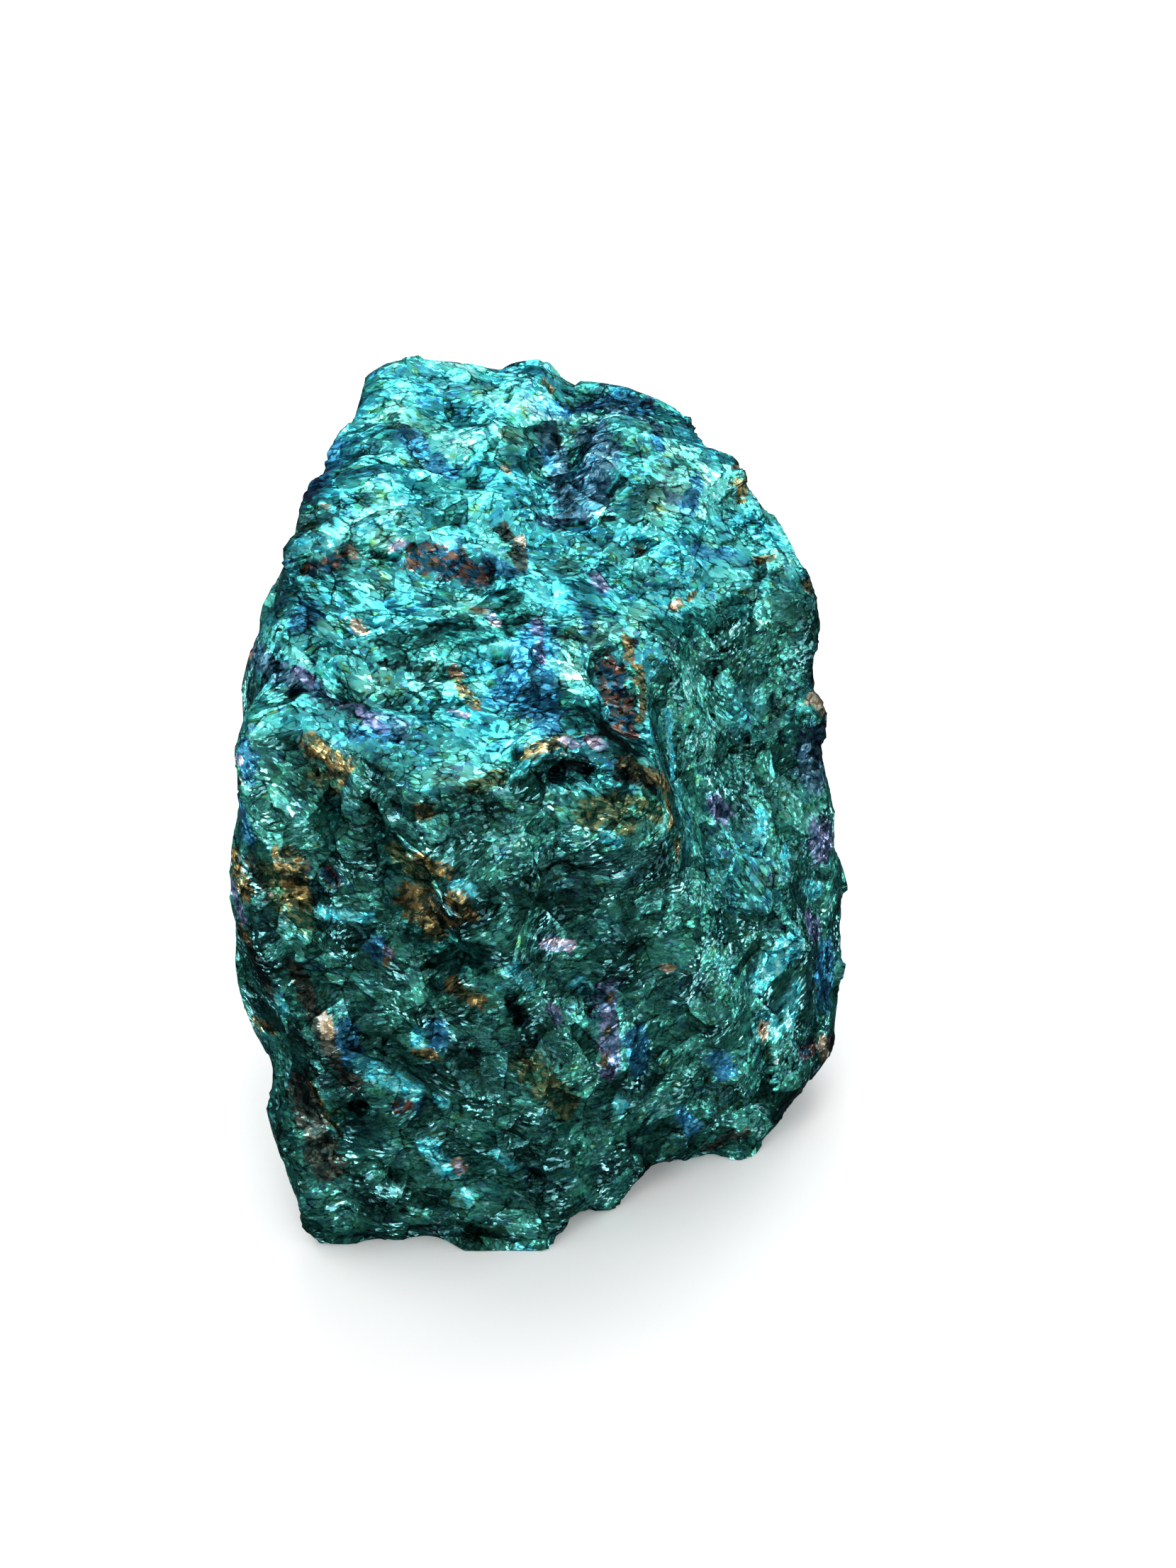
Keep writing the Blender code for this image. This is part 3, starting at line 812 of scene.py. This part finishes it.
def flattened(places, facing, top, cell, share, seed):
    """The places, moved towards the plane of their facet by this share of their distance."""
    on_top = top > ON_TOP
    run = np.where(
        on_top[:, None],
        along(places, TOP_GRAIN, FACET_STRETCH),
        along(places, SIDE_GRAIN, FACET_STRETCH),
    )
    shift = SEED_SPREAD * seed
    centres = [noise.voronoi(Vector(point) / cell + shift)[1][0] for point in run]
    keys = np.column_stack((np.array(centres).round(CELL_DIGITS), on_top))
    facet = np.unique(keys, axis=0, return_inverse=True)[1].ravel()
    middle = mean_of_each(places, facet)
    normal = mean_of_each(facing, facet)
    normal /= np.linalg.norm(normal, axis=1)[:, None]
    off = ((places - middle[facet]) * normal[facet]).sum(axis=1)
    return places - share * off[:, None] * normal[facet]


def mean_of_each(values, group):
    """The mean of the values in each group."""
    sums = [np.bincount(group, values[:, axis]) for axis in range(3)]
    return np.column_stack(sums) / np.bincount(group)[:, None]


def soft_noise(points, size, seed):
    """Smooth noise from -1 to 1."""
    return np.array([noise.noise(Vector(point) / size + SEED_SPREAD * seed) for point in points])


def terraces(points):
    """Steps that rise towards the back of the top face, steep in front and gentle behind."""
    wander = soft_noise(points, TERRACE_WANDER_SIZE, TERRACE_SEED)
    share = (points[:, 1] / TERRACE + TERRACE_WANDER * wander) % 1.0
    rise = np.minimum(share / TERRACE_FRONT, (1.0 - share) / (1.0 - TERRACE_FRONT))
    return rise - TERRACE_MIDDLE


def folds(points):
    """Sharp ridges with round hollows between them, which run down the sides."""
    run = along(points, SIDE_GRAIN, FOLD_STRETCH)
    return FOLD_RIDGE - FOLD_SLOPE * np.abs(soft_noise(run, FOLD_SIZE, FOLD_SEED))


def distance_to_path(points, path):
    """The distance of each point from the line through the points of the path."""
    nearest = np.full(len(points), np.inf)
    for start, end in zip(path[:-1], path[1:]):
        run = end - start
        share = np.clip((points - start) @ run / max(run @ run, SHORTEST_RUN), 0.0, 1.0)
        gap = np.linalg.norm(points - start - share[:, None] * run, axis=1)
        nearest = np.minimum(nearest, gap)
    return nearest


def path_on(surface, pixels):
    """The path over the surface that shows at these pixels of the photograph."""
    return np.array([seen_at(surface, pixel) for pixel in pixels])


def bell(points, path, width):
    """1 on the path, and less with the distance from it."""
    return np.exp(-((distance_to_path(points, path) / width) ** 2))


def break_surface(mesh):
    """Breaks the smooth surface into plates, terraces and folds, and cuts the cracks."""
    places, normals = read_mesh(mesh)
    facing, top = faces(mesh, normals)
    top_run = along(places, TOP_GRAIN, TOP_STRETCH)
    side_run = along(places, SIDE_GRAIN, SIDE_STRETCH)
    heights = TERRACE_HEIGHT * terraces(places) * top
    heights += FOLD_HEIGHT * folds(places) * (1.0 - top)
    for cell, height, seed in TOP_PLANES:
        heights += height * broken_planes(top_run, cell, seed) * top
    for cell, height, seed in SIDE_PLANES:
        heights += height * broken_planes(side_run, cell, seed) * (1.0 - top)
    surface = surface_of(mesh)
    for pixels, width, depth in CRACKS:
        heights -= depth * bell(places, path_on(surface, pixels), width)
    broken = places + facing * heights[:, None]
    for cell, share, seed in FACETS:
        broken = flattened(broken, facing, top, cell, share, seed)
    on_ground = places[:, 2] < GROUND
    broken[on_ground] = places[on_ground]
    write_places(mesh, keep_in_box(broken))


def surface_of(mesh):
    """The mesh as a surface that rays can hit, in millimetres."""
    places, _ = read_mesh(mesh)
    return BVHTree.FromPolygons(places.tolist(), [tuple(face.vertices) for face in mesh.polygons])


def keep_in_box(places):
    """The places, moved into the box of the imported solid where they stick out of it."""
    low = np.array(cad_box[0]) / MM
    high = np.array(cad_box[1]) / MM
    return np.clip(places, low, high)


def depth_under(around, places, facing):
    """How far each place lies under the surface around it."""
    return ((around - places) * facing).sum(axis=1)


def mark_surface(mesh):
    """Stores the values at each corner that the material reads."""
    places, normals = read_mesh(mesh)
    facing, top = faces(mesh, normals)
    links = neighbours(mesh)
    around = spread(places, *links, HOLLOW_SPREAD)
    # The hollows, which the material paints darker as painted shade.
    store(mesh, "hollow", smooth_step(depth_under(around, places, facing), *HOLLOW_DEPTHS))
    around = spread(around, *links, VALLEY_SPREAD)
    # The valleys, which the material paints darker as painted shade, and the ridges lighter as
    # painted light.
    store(mesh, "valley", smooth_step(depth_under(around, places, facing), *VALLEY_DEPTHS))
    store(mesh, "top", top)
    surface = surface_of(mesh)
    # Broad zones of painted light, up to 1, and of painted shade, down to -1.
    store(mesh, "painted_light_and_shade", painted(surface, places, PAINTED_LIGHT_ZONES) - painted(surface, places, PAINTED_SHADE_ZONES))
    for name, amount in patch_amounts(surface, places, facing).items():
        store(mesh, name, amount)


def store(mesh, name, values):
    """Stores a value at each corner under this name."""
    attribute = mesh.attributes.new(name, "FLOAT", "POINT")
    attribute.data.foreach_set("value", values.astype(np.float32))


def painted(surface, places, patches):
    """How much of these patches there is at each corner, from 0 to 1."""
    amount = np.zeros(len(places))
    for pixels, width in patches:
        amount = np.maximum(amount, bell(places, path_on(surface, pixels), width))
    return amount


def patch_amounts(surface, places, facing):
    """How much of each tint there is at each corner."""
    amounts = {name: painted(surface, places, patches) for name, patches in PATCHES.items()}
    random = np.random.default_rng(HIDDEN_SEED)
    to_eye = np.array(EYE) - places
    hidden = np.flatnonzero((to_eye * facing).sum(axis=1) < 0.0)
    names = list(HIDDEN_SHARES)
    shares = np.array(list(HIDDEN_SHARES.values()))
    for _ in range(HIDDEN_PATCHES):
        name = random.choice(names, p=shares / shares.sum())
        start = places[random.choice(hidden)]
        end = start + random.normal(size=3) * HIDDEN_LENGTH / SPREADS_IN_LENGTH
        path = np.array([start, surface.find_nearest(Vector(end))[0]])
        width = random.uniform(*HIDDEN_WIDTHS)
        amounts[name] = np.maximum(amounts[name], bell(places, path, width))
    return amounts


class Graph:
    """The nodes of a material or of the world, added one after another."""

    def __init__(self, owner):
        owner.use_nodes = True
        self.tree = owner.node_tree

    def add(self, kind, inputs, out=0, **settings):
        """Adds a node, and returns one of its outputs. An input is a value or another output."""
        made = self.tree.nodes.new(kind)
        for key, value in settings.items():
            setattr(made, key, value)
        for key, value in inputs.items():
            self.put(made.inputs[key], value)
        return made.outputs[out]

    def put(self, socket, value):
        """Links another output to the socket, or sets its value."""
        if isinstance(value, bpy.types.NodeSocket):
            self.tree.links.new(value, socket)
        else:
            socket.default_value = value

    def maths(self, operation, first, second=0.0):
        """One or two numbers, put through this operation."""
        return self.add("ShaderNodeMath", {0: first, 1: second}, operation=operation)

    def product(self, first, second):
        """The product of two numbers."""
        return self.maths("MULTIPLY", first, second)

    def vector(self, operation, first, second):
        """Two vectors, put through this operation."""
        return self.add("ShaderNodeVectorMath", {0: first, 1: second}, operation=operation)

    def scaled(self, value, scale):
        """The vector, made longer or shorter."""
        return self.add("ShaderNodeVectorMath", {0: value, "Scale": scale}, operation="SCALE")

    def mix(self, share, first, second, blend="MIX"):
        """The first colour, with this share of the second."""
        inputs = {0: share, 6: first, 7: second}
        return self.add("ShaderNodeMix", inputs, out=2, data_type="RGBA", blend_type=blend)

    def between(self, value, low, high, start=0.0, end=1.0):
        """The value, moved from the range low to high into the range start to end."""
        inputs = {"Value": value, "From Min": low, "From Max": high, "To Min": start, "To Max": end}
        return self.add("ShaderNodeMapRange", inputs, interpolation_type="SMOOTHSTEP")

    def by_share(self, share, start, end):
        """The start where the share is 0, the end where it is 1, and a blend in between."""
        return self.between(share, 0.0, 1.0, start, end)

    def ramp(self, value, stops):
        """The colour at this value on a ramp of (place, colour) stops."""
        output = self.add("ShaderNodeValToRGB", {0: value})
        elements = output.node.color_ramp.elements
        while len(elements) < len(stops):
            elements.new(1.0)
        for element, (place, rgb) in zip(elements, stops):
            element.position = place
            element.color = colour(rgb)
        return output

    def noise(self, where, size, detail, distortion=0.0, out=0):
        """Smooth noise, whose middle is a half."""
        inputs = {"Vector": where, "Scale": 1.0 / size, "Detail": detail, "Distortion": distortion}
        return self.add("ShaderNodeTexNoise", inputs, out=out)

    def cells(self, where, size, feature="F1", out="Color"):
        """Cells of this size, each with a random colour."""
        inputs = {"Vector": where, "Scale": 1.0 / size}
        return self.add("ShaderNodeTexVoronoi", inputs, out=out, feature=feature)

    def attribute(self, name):
        """The value that is stored at the corners under this name."""
        return self.add("ShaderNodeAttribute", {}, out="Fac", attribute_name=name)

    def grey(self, value):
        """The number as a colour."""
        return self.add("ShaderNodeCombineXYZ", {0: value, 1: value, 2: value})

    def channel(self, value, index):
        """One of the three numbers of a colour."""
        return self.add("ShaderNodeSeparateColor", {0: value}, out=index)

    def centred(self, value):
        """A random colour as a vector that points anywhere, with its middle at nought."""
        return self.vector("SUBTRACT", value, MIDDLES)

    def tilted(self, normal, direction, amount):
        """The normal, leaned towards the direction by this amount."""
        return self.vector("ADD", normal, self.scaled(direction, amount))


def places_to_read(g, top):
    """The places that the patterns of the finish are read at, in millimetres.

    Some follow fibres, which run level, wander, and are turned a little in each broad facet.
    """
    plain = g.scaled(g.add("ShaderNodeTexCoord", {}, out="Object"), 1.0 / MM)
    wander = g.scaled(g.centred(g.noise(plain, *WANDER_NOISE, out="Color")), WANDER)
    jag = g.scaled(g.centred(g.noise(plain, *JAG_NOISE, out="Color")), JAG)
    turn = g.vector("MULTIPLY", g.centred(g.cells(plain, BROAD)), TURN)
    fibres = g.add(
        "ShaderNodeVectorRotate",
        {"Vector": g.vector("ADD", g.vector("ADD", plain, wander), jag), "Rotation": turn},
        rotation_type="EULER_XYZ",
    )
    plates = g.vector("MULTIPLY", fibres, PLATE_SQUEEZE)
    is_top = g.maths("GREATER_THAN", top, ON_TOP)
    return {
        "plain": plain,
        "plates": plates,
        "grains": g.scaled(plates, g.by_share(is_top, *GRAIN_SQUEEZES)),
        "dashes": g.vector("MULTIPLY", fibres, DASH_SQUEEZE),
    }


def flashes(g, places):
    """How much each small facet flashes. The facets that do stand in clusters."""
    cluster = g.between(g.noise(places["plain"], *CLUSTER_NOISE), *CLUSTER_RANGE)
    left = g.between(g.attribute("valley"), *FLASH_VALLEYS, *FLASH_LEFT)
    number = g.channel(g.cells(places["dashes"], FLASH_SIZE), FLASH_CHANNEL)
    return g.product(g.between(number, *FLASH_RANGE), g.product(cluster, left))


def base_colour_and_painted_light(g, places, top, flash):
    """The colour: a slow drift, painted lighter on the top and darker on the sides, with facets
    in odd hues, streaks on the sides, and flashes painted in as highlights.
    """
    drift = g.noise(places["plain"], *DRIFT_NOISE)
    # The top is painted lighter, as painted light, and the sides darker, as painted shade.
    base = g.mix(top, g.ramp(drift, SIDE_TARNISH_AND_SHADE), g.ramp(drift, TOP_TARNISH_AND_LIGHT))
    hue = g.ramp(g.channel(g.cells(places["plates"], HUE_SIZE), HUE_CHANNEL), HUES)
    base = g.mix(1.0, base, hue, "MULTIPLY")
    off_middle = g.maths("SUBTRACT", g.noise(places["dashes"], *STREAK_NOISE), MIDDLE)
    streak = g.between(g.maths("ABSOLUTE", off_middle), *STREAK_RANGE, *STREAK_SHARES)
    streak = g.product(streak, g.maths("SUBTRACT", 1.0, top))
    base = g.mix(streak, base, colour(STREAK_COLOUR))
    # Flashes painted in as highlights.
    flash_share = g.product(flash, g.by_share(top, *FLASH_SHARES))
    return g.mix(flash_share, base, colour(PAINTED_FLASH_COLOUR))


def tinted(g, places, base):
    """The colour with the patches on it, which are ragged and speckled. Some of them are painted
    shade and some painted highlights.
    """
    edge = g.maths("SUBTRACT", g.noise(places["plain"], *EDGE_NOISE), MIDDLE)
    edge = g.product(edge, RAGGEDNESS)
    speck = g.between(g.noise(places["plain"], *SPECK_NOISE), *SPECK_RANGE)
    for name, (bright, dark) in TINTS.items():
        amount = g.maths("ADD", g.attribute(name), edge)
        tint = g.mix(speck, colour(dark), colour(bright))
        base = g.mix(g.between(amount, *PATCH_RANGE, *PATCH_SHARES), base, tint)
    return base


def shading(g, places, top):
    """How light the surface is: painted shade in hollows and valleys, painted light on ridges,
    broad zones of painted light and shade, and its facets and the dark lines between them.
    """
    # Painted shade in hollows and valleys and painted light on ridges.
    shade = g.by_share(g.attribute("hollow"), *HOLLOW_SHADES)
    shade = g.product(shade, g.by_share(g.attribute("valley"), *VALLEY_SHADES))
    # Broad zones of painted light and painted shade.
    shade = g.product(shade, g.between(g.attribute("painted_light_and_shade"), *PAINTED_LIGHT_RANGE, *PAINTED_LIGHT_FACTORS))
    for facets in FINISH:
        number = g.channel(g.cells(places[facets.run], facets.size), facets.channel)
        shade = g.product(shade, g.by_share(number, *facets.shades))
    broken = g.between(g.noise(places["plain"], *BREAK_NOISE), *BREAK_RANGE)
    strength = g.product(broken, g.by_share(top, *LINE_STRENGTHS))
    for facets in FINISH:
        if facets.line:
            edge = g.cells(places[facets.run], facets.size, "DISTANCE_TO_EDGE", 0)
            line = g.product(g.between(edge, 0.0, facets.line, 1.0, 0.0), strength)
            shade = g.product(shade, g.maths("SUBTRACT", 1.0, line))
    return shade


def tilted_normal(g, places, top, flash):
    """Every facet has its own tilt. Flashes and bright patches lean up as well."""
    normal = g.add("ShaderNodeNewGeometry", {}, out="Normal")
    for facets in FINISH:
        cells = g.cells(places[facets.run], facets.size)
        normal = g.tilted(normal, g.centred(cells), facets.tilt)
    lean = g.product(flash, g.by_share(top, *FLASH_LEANS))
    for name, amount in PATCH_LEANS.items():
        lean = g.maths("ADD", lean, g.product(g.attribute(name), amount))
    normal = g.tilted(normal, LEAN_TO, lean)
    return g.add("ShaderNodeVectorMath", {0: normal}, operation="NORMALIZE")


def ore():
    """The tarnished, glittering surface of the ore, with painted light and shade in its colour."""
    material = bpy.data.materials.new("iridescent chalcopyrite")
    g = Graph(material)
    shader = g.tree.nodes["Principled BSDF"]
    top = g.attribute("top")
    places = places_to_read(g, top)
    flash = flashes(g, places)
    base = tinted(g, places, base_colour_and_painted_light(g, places, top, flash))
    shade = g.grey(shading(g, places, top))
    rough = g.between(g.noise(places["plain"], *GLOSS_NOISE), *GLOSS_RANGE, *ROUGHNESS_RANGE)
    g.put(shader.inputs["Base Color"], g.mix(1.0, base, shade, "MULTIPLY"))
    g.put(shader.inputs["Roughness"], rough)
    g.put(shader.inputs["Metallic"], METALLIC)
    g.put(shader.inputs["Specular Tint"], colour(GRAZING_COLOUR))
    g.put(shader.inputs["Normal"], tilted_normal(g, places, top, flash))
    return material


def make_ore():
    """The visible stone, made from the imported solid."""
    obj = bpy.data.objects.new("ore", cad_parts[NODE].data.copy())
    bpy.context.scene.collection.objects.link(obj)
    add_dome(obj.data)
    even_grid(obj)
    break_surface(obj.data)
    mark_surface(obj.data)
    obj.data.materials.clear()
    obj.data.materials.append(ore())
    obj.data.shade_smooth()
    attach(obj, "root")
    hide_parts(NODE)


def make_floor():
    """A plain pale floor."""
    bpy.ops.mesh.primitive_plane_add(size=FLOOR_SIZE)
    floor = bpy.context.active_object
    floor.name = "floor"
    material = bpy.data.materials.new("floor")
    material.use_nodes = True
    shader = material.node_tree.nodes["Principled BSDF"]
    shader.inputs["Base Color"].default_value = colour(FLOOR_COLOUR)
    shader.inputs["Roughness"].default_value = FLOOR_ROUGHNESS
    floor.data.materials.append(material)
    floor.visible_glossy = False


def make_light(name, turn, height, distance, size, brightness):
    """A square soft light."""
    turn = radians(turn)
    height = radians(height)
    level = np.cos(height)
    away = Vector((np.sin(turn) * level, np.cos(turn) * level, np.sin(height)))
    data = bpy.data.lights.new(name, "AREA")
    data.size = size
    data.energy = brightness * pi * size * size
    light = bpy.data.objects.new(name, data)
    light.location = LIGHT_AIM + away * distance
    light.rotation_euler = away.to_track_quat("Z", "Y").to_euler()
    bpy.context.scene.collection.objects.link(light)


def make_world():
    """A white studio, which shows as a dim one in the glossy ore, dimmer below than above.

    The camera sees it in the colour that it gives the floor, so that no horizon shows.
    """
    world = bpy.data.worlds.new("studio")
    g = Graph(world)
    background = g.tree.nodes["Background"]
    direction = g.add("ShaderNodeTexCoord", {}, out="Generated")
    across = g.add("ShaderNodeSeparateXYZ", {0: direction}, out=0)
    height = g.add("ShaderNodeSeparateXYZ", {0: direction}, out=2)
    gloss = g.between(height, *STUDIO_HEIGHTS, *STUDIO_GLOSS)
    gloss = g.product(gloss, g.between(across, *STUDIO_SIDES, *SIDE_GLOSS))
    is_glossy = g.add("ShaderNodeLightPath", {}, out="Is Glossy Ray")
    is_seen = g.add("ShaderNodeLightPath", {}, out="Is Camera Ray")
    shown = g.mix(is_seen, colour(STUDIO_COLOUR), colour(FLOOR_COLOUR))
    shown = g.mix(is_glossy, shown, g.grey(gloss))
    g.put(background.inputs["Color"], shown)
    bpy.context.scene.world = world
    bpy.context.scene.view_settings.view_transform = "Standard"
    bpy.context.scene.cycles.use_denoising = True


make_ore()
make_floor()
for light_name, values in LIGHTS.items():
    make_light(light_name, *values)
make_world()
camera_from_photograph()
